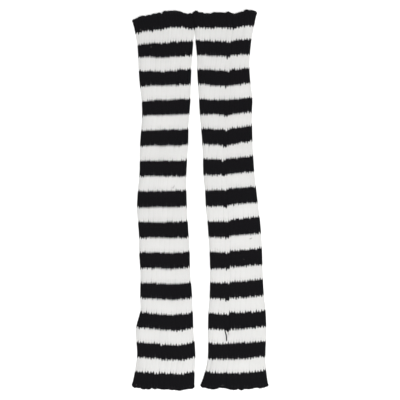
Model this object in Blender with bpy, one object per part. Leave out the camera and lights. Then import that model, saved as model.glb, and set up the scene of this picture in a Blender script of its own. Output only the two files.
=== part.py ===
"""A pair of long wrist warmers in striped rib knit, laid flat side by side.

Metres, +Z up. The pair lies on z = 0 with its length along Y, the worn-at-the-hand hems at the lowest y,
and the middle of its footprint at the origin. Each warmer is one knitted tube: a ribbed wall that goes
right round a flat hollow, open at both hems, with one lengthwise seam.
"""

from collections import namedtuple

import bpy
import bmesh
import numpy as np

MM = 0.001

# Knit
RIBS_ROUND = 22  # ribs right round one tube, half of them on the face that shows
BANDS = 25  # stripes along the length, black at both hems
WALL = 1.9 * MM  # knit wall between its inside and the bottom of the grooves
RIB_HEIGHT = 0.8 * MM  # how far a rib stands above its grooves
RibPoint = namedtuple("RibPoint", "across height")  # shares of the rib's width and of its height
RIB_PROFILE = (  # a groove, then the two knit columns of the rib with a shallow dip between them
    RibPoint(0.0, 0.0),
    RibPoint(0.12, 0.75),
    RibPoint(0.29, 1.0),
    RibPoint(0.50, 0.68),
    RibPoint(0.71, 1.0),
    RibPoint(0.88, 0.75),
)
SEAM_DEPTH = 0.45 * MM  # how much deeper the seam's groove is
HOLLOW = 0.6 * MM  # height of the flat hollow between the two panels
UNDER_WALL = WALL + 0.3 * MM  # the underside rests flat, so its pressed ribs are full wall

# Hems
ROLL = 0.35 * MM  # how much the cast-on edge stands proud
RollStep = namedtuple("RollStep", "from_hem share")  # metres, and share of the roll
ROLL_STEPS = (
    RollStep(0.0, 0.3),
    RollStep(1.0 * MM, 1.0),
    RollStep(2.6 * MM, 0.1),
    RollStep(6.5 * MM, 0.0),
    RollStep(11.0 * MM, 0.0),
)
SCALLOP = 0.7 * MM  # how far a rib's end stands past its grooves at the hem
HEM_REACH = 15 * MM  # how far from a hem its waves die out
LIFT_REACH = 28 * MM  # how far from a hem its lifted folds die out

# Cross-section
SIDE_RADIUS = (UNDER_WALL + HOLLOW + WALL) / 2  # the round side where the knit turns under
RELIEF_ENDS = (1.8, 2.5)  # angle round the side, from the top, where the ribs start and end fading out
SHOULDER = 9 * MM  # how far in from the side the upper panel starts to fall
SHOULDER_FALL = 1.4 * MM  # how far it would have fallen at the very side
HOLLOW_LEAST = 0.2 * MM  # height of the hollow under the shoulders
INNER_COLUMNS = 11  # points across each face of the hollow

# Across: left and right edges in mm. Up: the mean height of the row's two ends in mm, towards the elbow.
# Turn: ribs between the seam and the middle of the face that shows, as the tube is twisted as it lies.
# Tilt: how much higher the row's right end is. Bow: how far its middle arches up.
Row = namedtuple("Row", "band up left right turn tilt bow")
Fold = namedtuple("Fold", "hem across width along lift")
Warmer = namedtuple("Warmer", "name rows folds")

UNDER = RIBS_ROUND / 2  # turn of a seam that lies underneath

LEFT_ROWS = (
    Row(0, 194.9, -71.6, -7.7, UNDER, 8.2, 3.2),
    Row(1, 179.9, -68.2, -6.5, UNDER, 6.1, 2.4),
    Row(2, 167.1, -66.2, -7.2, UNDER, 4.6, 0.2),
    Row(3, 153.0, -65.2, -8.5, UNDER, 3.0, -1.2),
    Row(4, 137.5, -64.7, -9.3, UNDER, 2.5, -0.5),
    Row(5, 121.6, -63.2, -10.1, UNDER, 2.5, 0.6),
    Row(6, 106.1, -61.5, -10.3, UNDER, 2.3, 0.5),
    Row(7, 90.5, -61.1, -11.6, UNDER, 2.1, 0.2),
    Row(8, 74.4, -62.2, -12.5, UNDER, 1.6, 0.2),
    Row(9, 58.2, -63.4, -12.8, UNDER, 1.0, 0.2),
    Row(11, 25.5, -64.0, -14.8, UNDER, 0.3, 0.4),
    Row(12, 9.3, -65.6, -14.7, UNDER, 0.1, 0.2),
    Row(13, -6.8, -66.5, -14.3, UNDER, 0.0, -0.2),
    Row(15, -38.8, -64.3, -12.3, UNDER, 0.6, -0.9),
    Row(16, -55.0, -64.2, -11.3, UNDER, 0.7, -0.8),
    Row(17, -71.2, -63.0, -11.0, UNDER, 0.6, -0.8),
    Row(19, -103.2, -63.1, -8.6, UNDER, -0.6, -1.5),
    Row(20, -119.0, -63.1, -7.9, UNDER, -1.2, -2.0),
    Row(21, -134.9, -67.3, -7.4, UNDER, -2.5, -1.7),
    Row(23, -166.4, -66.5, -5.2, UNDER, -3.2, -1.4),
    Row(24, -182.0, -68.6, -5.8, UNDER, -2.4, -1.6),
    Row(25, -198.2, -71.9, -6.3, UNDER, -2.3, -1.8),
)

RIGHT_ROWS = (
    Row(0, 198.0, -6.5, 60.1, 1.2, 3.8, 1.3),
    Row(1, 183.0, -6.2, 57.0, 1.35, 2.8, -0.6),
    Row(2, 168.9, -4.7, 54.5, 1.45, 3.0, -1.0),
    Row(3, 153.4, -3.0, 52.8, 1.45, 2.8, -1.0),
    Row(4, 137.8, -2.6, 52.2, 1.27, 2.9, -0.9),
    Row(5, 122.2, -1.7, 53.2, 1.0, 3.0, -0.8),
    Row(6, 107.0, -0.7, 55.2, 0.73, 2.8, -0.8),
    Row(7, 91.7, 0.2, 54.8, 0.45, 2.7, -0.8),
    Row(9, 59.9, 2.9, 55.4, -0.1, 3.4, -1.0),
    Row(10, 44.2, 3.5, 56.1, -0.42, 3.9, -1.0),
    Row(11, 28.3, 4.0, 57.3, -0.7, 4.3, -1.0),
    Row(12, 12.1, 5.7, 59.0, -0.82, 4.3, -0.8),
    Row(13, -4.3, 6.6, 61.0, -0.9, 4.2, -0.6),
    Row(15, -37.9, 9.6, 64.5, -1.1, 4.6, -0.5),
    Row(17, -70.6, 11.0, 66.0, -1.25, 3.4, -0.3),
    Row(19, -103.5, 10.5, 67.4, -1.4, 2.2, -0.4),
    Row(20, -119.9, 9.3, 69.2, -1.45, 1.9, -0.3),
    Row(21, -136.1, 8.8, 70.1, -1.5, 1.7, -0.2),
    Row(23, -167.4, 8.5, 69.2, -1.7, 0.6, 0.0),
    Row(24, -182.6, 6.0, 69.8, -1.6, -0.3, -0.6),
    Row(25, -197.4, 0.8, 72.3, -1.4, -0.4, -2.5),
)

# Soft waves of the hems. Across and width: shares of the half width. Along and lift: mm.
LEFT_FOLDS = (
    Fold("elbow", -0.75, 0.16, 0.7, 1.1),
    Fold("elbow", 0.25, 0.30, 1.1, 1.3),
    Fold("elbow", 0.86, 0.12, -1.6, 0.7),
    Fold("hand", -0.72, 0.17, -1.0, 1.4),
    Fold("hand", -0.10, 0.20, -0.2, 0.6),
    Fold("hand", 0.50, 0.22, -0.6, 1.2),
)
RIGHT_FOLDS = (
    Fold("elbow", -0.84, 0.13, 3.5, 1.0),
    Fold("elbow", -0.10, 0.20, 0.0, 0.6),
    Fold("elbow", 0.36, 0.14, -1.8, 0.3),
    Fold("elbow", 0.78, 0.20, 1.4, 1.5),
    Fold("hand", -0.68, 0.14, -0.9, 1.4),
    Fold("hand", -0.35, 0.13, 1.2, 0.2),
    Fold("hand", 0.10, 0.22, 0.1, 1.2),
    Fold("hand", 0.72, 0.17, 1.0, 0.9),
)

WARMERS = (
    Warmer("left_warmer", LEFT_ROWS, LEFT_FOLDS),
    Warmer("right_warmer", RIGHT_ROWS, RIGHT_FOLDS),
)

BLACK_YARN = (0.011, 0.011, 0.012, 1.0)
WHITE_YARN = (0.78, 0.77, 0.75, 1.0)
YARN_ROUGHNESS = 0.92


def smooth(at, rows, column):
    """A table's column, in metres or plain numbers, as a smooth curve through its rows at any band."""
    bands = np.array([row.band for row in rows], float)
    values = np.array([getattr(row, column) for row in rows], float)
    slopes = np.gradient(values, bands)
    gap = np.clip(np.searchsorted(bands, at, side="right") - 1, 0, len(bands) - 2)
    span = bands[gap + 1] - bands[gap]
    t = (at - bands[gap]) / span
    from_start = (1 + 2 * t) * (1 - t) ** 2 * values[gap] + t * (1 - t) ** 2 * span * slopes[gap]
    from_end = t * t * (3 - 2 * t) * values[gap + 1] - t * t * (1 - t) * span * slopes[gap + 1]
    return from_start + from_end


def stations(rows):
    """Places along the tube, in bands from the elbow hem: every band edge, and the steps of both rolls.

    Returns them with each one's share of the roll and its distance from the nearer hem.
    """
    edges = np.arange(BANDS + 1, dtype=float)
    length = (rows[0].up - rows[-1].up) * MM
    per_band = length / BANDS
    steps = np.array([step.from_hem for step in ROLL_STEPS])
    places = np.concatenate([steps / per_band, edges[1:-1], BANDS - steps[::-1] / per_band])
    from_hem = np.minimum(places, BANDS - places) * per_band
    roll = np.interp(from_hem, steps, [step.share for step in ROLL_STEPS], right=0.0)
    return places, roll * ROLL, from_hem


def wrap(ribs):
    """Places round the tube, in ribs, brought to between minus half and plus half a turn."""
    return (ribs + UNDER) % RIBS_ROUND - UNDER


def turn_at(places, rows):
    return smooth(places, rows, "turn")[:, None]


def ring_columns(places, rows):
    """Points round the tube, counted in ribs from the seam, and how high each stands on its rib.

    A rib that comes up on top somewhere has its whole profile, and one that stays underneath its groove.
    """
    widest = relief_reach(rows)
    columns, heights = [], []
    for rib in range(RIBS_ROUND):
        nearest = np.abs(wrap(rib + 0.5 + turn_at(places, rows))).min()
        profile = RIB_PROFILE if nearest < widest else RIB_PROFILE[:1]
        columns += [rib + point.across for point in profile]
        heights += [point.height for point in profile]
    return np.array(columns), np.array(heights)


def relief_reach(rows):
    """The most ribs between the top's middle and the place on the side where the ribs have faded out."""
    widths = np.array([row.right - row.left for row in rows]) * MM
    flat = widths / 2 - RIB_HEIGHT - SIDE_RADIUS
    pitch = (4 * flat + 2 * np.pi * SIDE_RADIUS) / RIBS_ROUND
    return ((flat + RELIEF_ENDS[1] * SIDE_RADIUS) / pitch).max() + 0.5


def outline_round(ribs, half):
    """Where a place counted in ribs lies on the plain cross-section, a flat band with half-round sides.

    Returns across, up, the outward direction and the angle turned from the top.
    """
    flat = half - RIB_HEIGHT - SIDE_RADIUS
    around = np.abs(ribs) * (4 * flat + 2 * np.pi * SIDE_RADIUS) / RIBS_ROUND
    angle = np.clip((around - flat) / SIDE_RADIUS, 0, np.pi)
    past_side = np.maximum(around - flat - np.pi * SIDE_RADIUS, 0)
    side = np.sign(ribs)
    across = side * (np.minimum(around, flat) + SIDE_RADIUS * np.sin(angle) - past_side)
    up = SIDE_RADIUS * (1 + np.cos(angle))
    return across, up, side * np.sin(angle), np.cos(angle), angle


def fold_sum(folds, u, from_elbow, from_hand, reach, column):
    """Sum of the hem's soft waves: each a bell across the width that dies out away from its hem."""
    total = np.zeros(np.broadcast(u, from_elbow).shape)
    for fold in folds:
        away = from_elbow if fold.hem == "elbow" else from_hand
        bell = np.exp(-(((u - fold.across) / fold.width) ** 2))
        total = total + getattr(fold, column) * MM * bell * np.exp(-((away / reach) ** 2))
    return total


class Lay:
    """How one warmer lies: its edges, the line of each row of knit and the lift of its folds."""

    def __init__(self, warmer, places, from_hem):
        self.folds = warmer.folds
        left, right, up, tilt, bow = (
            smooth(places, warmer.rows, name)[:, None] * MM
            for name in ("left", "right", "up", "tilt", "bow")
        )
        self.middle, self.half = (left + right) / 2, (right - left) / 2
        self.up, self.tilt, self.bow = up, tilt, bow
        elbow_half = (places < BANDS / 2)[:, None]
        far = 1.0  # metres, past any hem's reach
        self.from_elbow = np.where(elbow_half, from_hem[:, None], far)
        self.from_hand = np.where(elbow_half, far, from_hem[:, None])

    def along(self, u):
        """Height up the sheet of the row of knit at a share u of the half width."""
        waves = fold_sum(self.folds, u, self.from_elbow, self.from_hand, HEM_REACH, "along")
        return self.up + self.tilt * u / 2 + self.bow * (1 - u * u) + waves

    def lift(self, u):
        """How far the upper panel rises off the lower one, never at the sides."""
        waves = fold_sum(self.folds, u, self.from_elbow, self.from_hand, LIFT_REACH, "lift")
        return waves * np.clip(1 - u**4, 0, 1)

    def fall(self, across):
        """How far the upper panel has sunk at a place across, on its soft shoulder down to the side."""
        share = np.clip((np.abs(across) - self.half + SHOULDER) / SHOULDER, 0, 1)
        return SHOULDER_FALL * share**2


def outer_points(warmer, places, roll, lay):
    """The outside of the knit, one row of points for each station."""
    columns, heights = ring_columns(places, warmer.rows)
    ribs = wrap(columns[None, :] + turn_at(places, warmer.rows))
    across, up, out_x, out_z, angle = outline_round(ribs, lay.half)
    fade = 1 - np.clip((angle - RELIEF_ENDS[0]) / (RELIEF_ENDS[1] - RELIEF_ENDS[0]), 0, 1)
    seam = np.where(columns == 0, SEAM_DEPTH, 0.0)[None, :]
    raised = (heights[None, :] * RIB_HEIGHT - seam + roll[:, None]) * fade
    u = across / lay.half
    x = lay.middle + across + out_x * raised
    upper_share = (up / (2 * SIDE_RADIUS)) ** 2
    z = np.maximum(up + out_z * raised + (lay.lift(u) - lay.fall(across)) * upper_share, 0)
    scallop = heights[None, :] * SCALLOP * np.exp(-((places[:, None] * 4) ** 2))
    scallop = scallop - heights[None, :] * SCALLOP * np.exp(-(((BANDS - places[:, None]) * 4) ** 2))
    return np.stack([x, lay.along(u) + scallop, z], axis=-1)


def inner_points(lay):
    """The plain inside: a flat hollow whose roof rises with the folds of the upper panel."""
    u = np.linspace(-1, 1, INNER_COLUMNS)
    u = np.concatenate([u, u[::-1]])[None, :]
    roof = (np.arange(2 * INNER_COLUMNS) < INNER_COLUMNS)[None, :]
    across = u * (lay.half - RIB_HEIGHT - WALL)
    share = across / lay.half
    height = np.maximum(HOLLOW + lay.lift(share) - lay.fall(across), HOLLOW_LEAST)
    z = UNDER_WALL + np.where(roof, height, 0)
    x = lay.middle + across
    return np.stack([x, lay.along(share), z], axis=-1)


def tube_faces(rows, columns, first):
    """Quads of a closed tube whose rings of points follow each other from a first index."""
    ring = np.arange(columns)
    after = (ring + 1) % columns
    starts = first + columns * np.arange(rows - 1)[:, None]
    quads = np.stack([starts + ring, starts + after, starts + columns + after, starts + columns + ring], -1)
    return quads.reshape(-1, 4)


def close_hem(bm, rings):
    """Fills the end of the knit wall, between its outer and its inner ring."""
    edges = []
    for ring in rings:
        for here, there in zip(ring, ring[1:] + ring[:1]):
            edges.append(bm.edges.get((here, there)))
    bmesh.ops.triangle_fill(bm, edges=edges, use_beauty=True, normal=(0.0, 1.0, 0.0))


def colour_bands(mesh, stations_of_face, places):
    """Black for every even band and white for the others, by the place of a face along the tube."""
    band = np.floor((places[stations_of_face] + places[stations_of_face + 1]) / 2).astype(int)
    slots = np.zeros(len(mesh.polygons), np.int32)
    slots[: len(band)] = band % 2
    mesh.polygons.foreach_set("material_index", slots)


def build_warmer(warmer, collection, materials):
    places, roll, from_hem = stations(warmer.rows)
    lay = Lay(warmer, places, from_hem)
    outer = outer_points(warmer, places, roll, lay)
    inner = inner_points(lay)
    count, around, inside = len(places), outer.shape[1], inner.shape[1]
    first_inner = count * around
    points = np.concatenate([outer.reshape(-1, 3), inner.reshape(-1, 3)])
    faces = np.concatenate([tube_faces(count, around, 0), tube_faces(count, inside, first_inner)])

    mesh = bpy.data.meshes.new(warmer.name)
    mesh.from_pydata(points.tolist(), [], faces.tolist())
    station = np.repeat(np.arange(count - 1), around)
    station = np.concatenate([station, np.repeat(np.arange(count - 1), inside)])
    for material in materials:
        mesh.materials.append(material)
    colour_bands(mesh, station, places)

    bm = bmesh.new()
    bm.from_mesh(mesh)
    bm.verts.ensure_lookup_table()
    for end in (0, count - 1):
        start, start_inner = end * around, first_inner + end * inside
        close_hem(bm, [bm.verts[start : start + around], bm.verts[start_inner : start_inner + inside]])
    bmesh.ops.recalc_face_normals(bm, faces=bm.faces)
    bm.to_mesh(mesh)
    bm.free()
    mesh.shade_smooth()
    mesh.set_sharp_from_angle(angle=np.radians(60))

    warmer_object = bpy.data.objects.new(warmer.name, mesh)
    collection.objects.link(warmer_object)
    return warmer_object


def yarn(name, colour):
    material = bpy.data.materials.new(name)
    material.use_nodes = True
    shader = material.node_tree.nodes["Principled BSDF"]
    shader.inputs["Base Color"].default_value = colour
    shader.inputs["Roughness"].default_value = YARN_ROUGHNESS
    shader.inputs["Metallic"].default_value = 0.0
    material.diffuse_color = colour
    return material


def centre_on_origin(objects):
    """Moves all the meshes together so that the middle of their footprint is at the origin."""
    corners = np.concatenate([np.array([v.co for v in item.data.vertices]) for item in objects])
    middle = (corners.min(axis=0) + corners.max(axis=0)) / 2
    for item in objects:
        for vertex in item.data.vertices:
            vertex.co.x -= middle[0]
            vertex.co.y -= middle[1]


def main():
    for old in list(bpy.data.objects):
        bpy.data.objects.remove(old, do_unlink=True)
    collection = bpy.data.collections.new("wrist_warmers")
    bpy.context.scene.collection.children.link(collection)
    materials = (yarn("black_yarn", BLACK_YARN), yarn("white_yarn", WHITE_YARN))
    made = [build_warmer(warmer, collection, materials) for warmer in WARMERS]
    centre_on_origin(made)


main()
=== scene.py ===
"""The looks of a pair of long wrist warmers in striped rib knit, laid flat side by side.

Each tube is knitted as a fine surface over its plain solid: ribs of two knit columns, a V for every stitch,
stripes whose edges follow the stitches, twisted edges at the hems, the seam and a few loose ends of yarn.
The knit is a grid of two parameters, the place along the tube, counted in stripes, and the place round it,
counted in ribs from the seam. The hems' edges and the loose ends are round strands carried along a path.
"""

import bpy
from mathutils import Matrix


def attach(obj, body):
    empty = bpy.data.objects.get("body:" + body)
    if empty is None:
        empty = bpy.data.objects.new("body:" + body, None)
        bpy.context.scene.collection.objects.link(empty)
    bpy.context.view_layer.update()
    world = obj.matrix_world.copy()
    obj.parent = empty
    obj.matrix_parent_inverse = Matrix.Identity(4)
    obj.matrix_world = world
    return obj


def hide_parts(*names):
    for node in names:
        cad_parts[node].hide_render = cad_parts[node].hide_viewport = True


bl_info = {
    "name": "Striped wrist warmers",
    "version": (1, 0, 0),
    "blender": (4, 5, 0),
    "location": "3D View > Sidebar > Wrist warmers",
    "description": "Knits two striped tubes stitch by stitch over their solids and sets up a pale studio",
    "category": "Add Mesh",
}

from collections import namedtuple

import bpy
import numpy as np
from bpy.props import FloatProperty, FloatVectorProperty, IntProperty, PointerProperty

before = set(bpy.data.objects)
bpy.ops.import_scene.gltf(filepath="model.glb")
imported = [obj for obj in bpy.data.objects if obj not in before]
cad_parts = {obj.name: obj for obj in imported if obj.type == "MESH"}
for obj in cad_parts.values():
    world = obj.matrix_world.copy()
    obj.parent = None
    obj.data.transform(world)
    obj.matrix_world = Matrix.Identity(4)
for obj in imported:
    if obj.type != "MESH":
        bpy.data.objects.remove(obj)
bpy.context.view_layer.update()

MM = 0.001
STRIPES = 25  # black at both hems
STRIPE_PITCH = 16.1 * MM  # about a stripe's height, to turn stripes into distances along the tube

# The tables below are in millimetres from the middle of the photograph. The outlines, the lines and the
# folds' reach along the tube were measured on it with a scratch script, mostly by least squares, and rounded
# to 0.1 mm. The rest was chosen or filled in between. The part's origin, the middle of the pair's footprint,
# lies at these places in them.
ORIGIN_ACROSS = 0.25 * MM
ORIGIN_UP = 0.32 * MM

UNDERNEATH = 11.0  # turn of a seam in the middle of the face that rests

# Outline: the tube's left and right edges. Turn: ribs between the seam and the middle of the face that shows.
Outline = namedtuple("Outline", "stripe left right turn", defaults=(UNDERNEATH,))
# How the top edge of a stripe runs. Up: the mean height of its two ends. Tilt: how much higher the right one
# is. Bow: how far its middle arches up. Sway: how far it swings to an S. Step: its jump at the seam. Dip: how
# far it dips there. Wave: how far its middle dips between two crests.
Line = namedtuple("Line", "stripe up tilt bow sway step dip wave", defaults=(0.0, 0.0, 0.0, 0.0))
# A soft wave of a hem. Across and width: shares of the half width. Along and lift: mm.
Fold = namedtuple("Fold", "hem across width along lift")
# A stitch pulled towards the hand at a change of colour. From seam, width and depth: mm. A depth below 0
# pushes it back up.
Pull = namedtuple("Pull", "stripe from_seam width depth")
# A lengthwise crease. Across: share of the half width. Start and end: stripes. Width and depth: mm.
Crease = namedtuple("Crease", "across start end width depth")
Warmer = namedtuple("Warmer", "side node outline lines folds pulls creases seed")

LEFT_OUTLINE = (
    Outline(0, -71.6, -9.4),
    Outline(1, -68.2, -5.7),
    Outline(2, -66.2, -7.2),
    Outline(3, -65.2, -8.5),
    Outline(4, -64.7, -9.3),
    Outline(5, -63.2, -10.1),
    Outline(6, -61.5, -10.3),
    Outline(7, -61.1, -11.6),
    Outline(8, -62.2, -12.5),
    Outline(9, -63.4, -12.8),
    Outline(11, -64.0, -14.8),
    Outline(12, -65.6, -14.7),
    Outline(13, -66.5, -14.3),
    Outline(15, -64.3, -12.3),
    Outline(16, -64.2, -11.3),
    Outline(17, -63.0, -11.0),
    Outline(19, -63.1, -8.6),
    Outline(20, -63.1, -7.9),
    Outline(21, -67.3, -7.4),
    Outline(23, -66.5, -5.2),
    Outline(24, -68.6, -5.8),
    Outline(25, -71.9, -6.3),
)
LEFT_LINES = (
    Line(0, 195.3, 8.2, 3.2),
    Line(1, 179.7, 4.0, 2.2, -2.4),
    Line(2, 166.7, 4.0, 0.0, -0.2, wave=0.3),
    Line(3, 153.2, 1.6, -1.4, -0.6, wave=0.4),
    Line(4, 138.3, 2.3, -1.7, 0.2, wave=0.5),
    Line(5, 122.1, 3.2, -0.1, 1.3, wave=0.5),
    Line(6, 106.1, 3.4, 0.4, 1.2),
    Line(7, 91.0, 2.8, 0.0, 0.7),
    Line(8, 74.5, 1.4, 0.1, 0.1),
    Line(9, 58.4, 1.5, -0.2, 0.7),
    Line(10, 42.3, 1.4, -0.3, 0.9),
    Line(11, 25.8, 0.7, 0.2, 1.2),
    Line(12, 10.3, 0.6, -0.5, -0.1),
    Line(13, -6.5, 1.0, -0.4, 0.4),
    Line(14, -22.4, 0.9, -0.7, 0.5),
    Line(15, -39.0, 0.5, -0.4, 0.5),
    Line(16, -54.6, 1.6, -1.1, 1.4),
    Line(17, -70.7, 2.0, -1.3, 1.9),
    Line(18, -87.1, 0.3, -1.0, 0.8),
    Line(19, -103.0, 0.1, -1.5, 0.8),
    Line(20, -118.2, 1.0, -2.8, 2.2, wave=0.3),
    Line(21, -134.4, -0.5, -2.4, 2.3),
    Line(22, -149.8, 0.8, -3.1, 2.6, wave=0.3),
    Line(23, -165.6, 0.3, -2.4, 2.7),
    Line(24, -181.5, -0.1, -1.6, 1.3),
    Line(25, -198.4, -2.3, -1.8),
)
LEFT_FOLDS = (
    Fold("elbow", -0.75, 0.16, 0.7, 1.1),
    Fold("elbow", 0.25, 0.30, 1.1, 1.3),
    Fold("elbow", 0.86, 0.12, -1.1, 0.7),
    Fold("hand", -0.72, 0.17, -1.0, 1.4),
    Fold("hand", -0.10, 0.20, -0.2, 0.6),
    Fold("hand", 0.50, 0.22, -0.6, 1.2),
)
LEFT_CREASES = (
    Crease(-0.10, 0.8, 2.1, 1.1, 0.5),
    Crease(0.06, 0.9, 1.9, 0.9, 0.6),
    Crease(0.22, 0.8, 2.2, 1.0, 0.4),
    Crease(-0.46, 2.9, 4.2, 2.6, 0.3),
    Crease(0.40, 2.8, 4.0, 1.4, 0.3),
    Crease(-0.10, 5.0, 6.6, 3.4, 0.3),
    Crease(-0.42, 6.9, 8.1, 0.9, 0.3),
    Crease(0.05, 7.2, 7.9, 0.9, 0.3),
    Crease(-0.62, 12.0, 16.0, 2.8, 0.3),
    Crease(0.30, 16.8, 18.4, 2.2, 0.3),
    Crease(0.62, 16.9, 20.2, 1.6, 0.4),
    Crease(-0.70, 20.9, 22.1, 1.0, 0.4),
    Crease(0.06, 20.9, 22.2, 0.9, 0.6),
    Crease(0.24, 21.2, 22.3, 0.9, 0.4),
    Crease(0.47, 21.0, 22.1, 0.8, 0.4),
    Crease(-0.68, 22.9, 24.6, 0.9, 0.5),
    Crease(-0.46, 22.8, 24.1, 0.9, 0.5),
    Crease(-0.26, 22.9, 24.4, 0.9, 0.6),
    Crease(-0.06, 22.8, 24.0, 0.9, 0.5),
    Crease(0.16, 22.9, 24.3, 0.9, 0.6),
    Crease(0.35, 22.9, 24.0, 0.9, 0.5),
    Crease(0.56, 22.8, 24.5, 0.9, 0.6),
)

RIGHT_OUTLINE = (
    Outline(0, -8.8, 60.1, 1.2),
    Outline(1, -5.3, 57.0, 1.35),
    Outline(2, -4.7, 54.5, 1.45),
    Outline(3, -3.0, 52.8, 1.45),
    Outline(4, -2.6, 52.2, 1.27),
    Outline(5, -1.7, 53.2, 1.0),
    Outline(6, -0.7, 55.2, 0.73),
    Outline(7, 0.2, 54.8, 0.45),
    Outline(9, 2.9, 55.4, -0.1),
    Outline(10, 3.5, 56.1, -0.42),
    Outline(11, 4.0, 57.3, -0.7),
    Outline(12, 5.7, 59.0, -0.82),
    Outline(13, 6.6, 61.0, -0.9),
    Outline(15, 9.6, 64.5, -1.1),
    Outline(17, 11.0, 66.0, -1.25),
    Outline(19, 10.5, 67.4, -1.4),
    Outline(20, 9.3, 69.2, -1.45),
    Outline(21, 8.8, 70.1, -1.5),
    Outline(23, 8.5, 69.2, -1.7),
    Outline(24, 6.0, 69.8, -1.6),
    Outline(25, 0.8, 72.3, -1.4),
)
RIGHT_LINES = (
    Line(0, 198.3, 3.8, 1.3),
    Line(1, 183.7, 3.0, 0.0, 0.0, -0.3, 1.6),
    Line(2, 170.5, 1.9, -1.8, 0.0, 1.5, 2.0),
    Line(3, 155.1, 1.3, -1.3, 0.2, 1.7, 1.3, 0.2),
    Line(4, 139.4, 1.1, -1.1, 0.0, 2.2, 1.4),
    Line(5, 124.2, 1.1, -2.0, 0.0, 0.8, 0.8),
    Line(6, 108.3, 1.8, -1.5, 0.0, 0.6, 0.9),
    Line(7, 92.7, 1.9, -0.6, 0.0, 1.0, 2.0),
    Line(8, 78.0, 3.5, -1.9, 0.4, 1.0, 1.6, 0.2),
    Line(9, 62.1, 4.0, -2.2, 0.4, 0.8, 2.0, 0.2),
    Line(10, 45.7, 2.9, -1.4, 0.0, 1.3, 1.3),
    Line(11, 29.1, 3.5, -0.6, 0.0, 0.8, 1.1),
    Line(12, 12.7, 4.1, -0.2, 0.0, 1.4, 0.8),
    Line(13, -4.1, 4.4, 0.1, 0.0, 2.5, 1.5),
    Line(14, -20.2, 4.8, 0.2, 0.0, 2.2, 1.8),
    Line(15, -36.7, 4.4, -0.1, 0.0, 2.4, 1.1),
    Line(16, -52.7, 4.6, -0.6, 0.0, 2.7, 0.8),
    Line(17, -69.7, 4.3, -0.5, 0.0, 2.2, 0.3),
    Line(18, -85.5, 3.5, -0.7, 0.0, 2.4, 0.3),
    Line(19, -101.2, 3.1, -1.9, 0.2, 2.8, 0.7, 0.3),
    Line(20, -118.0, 3.0, -1.2, 0.0, 2.8, -0.1),
    Line(21, -134.4, 2.8, -1.0, 0.0, 1.8, 1.5),
    Line(22, -150.1, 2.6, -1.0, 0.0, 0.2, 0.2),
    Line(23, -166.1, 2.6, -1.2, 0.0, -0.6, -0.3),
    Line(24, -180.7, 1.2, -2.0, 0.0, -0.3, 0.2),
    Line(25, -197.8, -0.4, -2.5),
)
RIGHT_FOLDS = (
    Fold("elbow", -0.84, 0.13, 3.7, 1.0),
    Fold("elbow", -0.10, 0.20, 0.0, 0.6),
    Fold("elbow", 0.36, 0.14, -1.8, 0.3),
    Fold("elbow", 0.78, 0.20, 1.4, 1.5),
    Fold("hand", -0.68, 0.14, -0.9, 1.4),
    Fold("hand", -0.35, 0.13, 1.2, 0.2),
    Fold("hand", 0.10, 0.22, 0.1, 1.2),
    Fold("hand", 0.72, 0.17, 1.0, 0.9),
)
RIGHT_PULLS = (
    Pull(1, -1.6, 0.9, 0.9),
    Pull(1, 2.6, 0.9, 0.8),
    Pull(3, -3.5, 1.0, 1.3),
    Pull(5, -3.7, 1.0, 1.3),
    Pull(7, -4.2, 1.1, 1.7),
    Pull(9, -3.7, 1.0, 1.4),
    Pull(10, -3.9, 0.9, 1.1),
    Pull(11, -2.8, 1.1, 1.0),
    Pull(15, -4.3, 0.9, 1.0),
    Pull(17, -3.7, 1.2, 1.0),
    Pull(19, -3.5, 1.2, 1.0),
    Pull(20, -1.4, 1.6, 1.0),
    Pull(21, 0.4, 1.0, 1.9),
    Pull(21, 2.0, 0.9, -0.9),
)
RIGHT_CREASES = (
    Crease(-0.78, 0.9, 2.1, 0.9, 0.5),
    Crease(0.22, 0.8, 2.3, 1.3, 0.7),
    Crease(0.60, 0.7, 1.9, 3.0, 0.7),
    Crease(-0.84, 2.8, 4.1, 2.0, 0.3),
    Crease(0.20, 4.9, 6.1, 0.9, 0.5),
    Crease(0.62, 5.2, 7.0, 2.6, 0.3),
    Crease(-0.06, 7.0, 8.1, 0.9, 0.4),
    Crease(-0.78, 8.8, 10.2, 1.0, 0.4),
    Crease(-0.20, 9.0, 10.1, 0.9, 0.5),
    Crease(0.56, 8.9, 10.0, 0.9, 0.4),
    Crease(0.76, 8.7, 10.3, 1.1, 0.5),
    Crease(-0.20, 10.9, 12.1, 0.9, 0.5),
    Crease(0.34, 11.0, 12.2, 0.8, 0.3),
    Crease(0.66, 12.6, 14.2, 1.1, 0.4),
    Crease(-0.36, 12.9, 14.1, 0.9, 0.6),
    Crease(-0.42, 14.9, 16.2, 0.9, 0.5),
    Crease(-0.66, 16.9, 18.1, 1.0, 0.4),
    Crease(-0.48, 16.9, 18.2, 0.9, 0.5),
    Crease(-0.56, 22.9, 24.2, 0.9, 0.6),
    Crease(-0.90, 22.8, 24.0, 1.2, 0.4),
    Crease(0.80, 22.9, 24.4, 0.9, 0.3),
    Crease(-0.34, 24.2, 25.0, 1.0, 0.4),
)

WARMERS = (
    Warmer("left", "left_warmer", LEFT_OUTLINE, LEFT_LINES, LEFT_FOLDS, (), LEFT_CREASES, 11),
    Warmer("right", "right_warmer", RIGHT_OUTLINE, RIGHT_LINES, RIGHT_FOLDS, RIGHT_PULLS, RIGHT_CREASES, 12),
)

# Where the grid has points across one knit column, as shares of its width, on ribs that show and that don't.
SHOWN_ACROSS = (0.0, 0.14, 0.30, 0.50, 0.70, 0.86)
HIDDEN_ACROSS = (0.0, 0.30, 0.70)
ROWS_PER_COURSE = 3
COLUMNS_PER_RIB = 2
JUST_SHORT = 1e-9  # stripes from a stripe's last row to the next stripe, so that it counts as its own

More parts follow.
